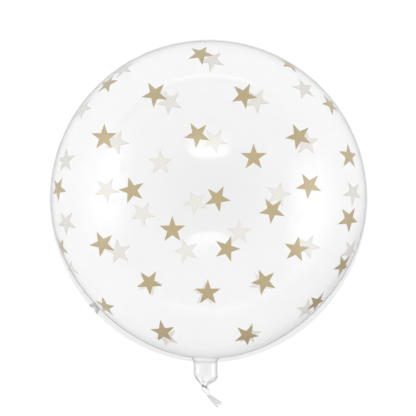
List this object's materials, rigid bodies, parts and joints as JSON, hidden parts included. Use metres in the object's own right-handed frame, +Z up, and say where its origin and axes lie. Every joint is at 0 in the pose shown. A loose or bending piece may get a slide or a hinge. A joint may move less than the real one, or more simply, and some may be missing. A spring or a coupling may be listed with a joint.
{
  "type": "clear bubble balloon",
  "caption": "Round balloon of clear film with gold stars printed on it, knotted at its short filling neck and lying on its side.",
  "frame": {"origin": "middle of the small flat that the film takes where the balloon lies", "axes": "+Y along the balloon's own axis, from the knotted neck to the far end; +Z up, square to the level weld that joins the two printed panels; +X to the right as seen from above with the neck nearest"},
  "size_m": [0.401, 0.4641, 0.397],
  "materials": {
    "clear_film": "clear, glossy, thin stretched film",
    "gold_ink": "satin gold printing ink"
  },
  "bodies": {
    "root": {"balloon": "clear_film"}
  },
  "joints": []
}
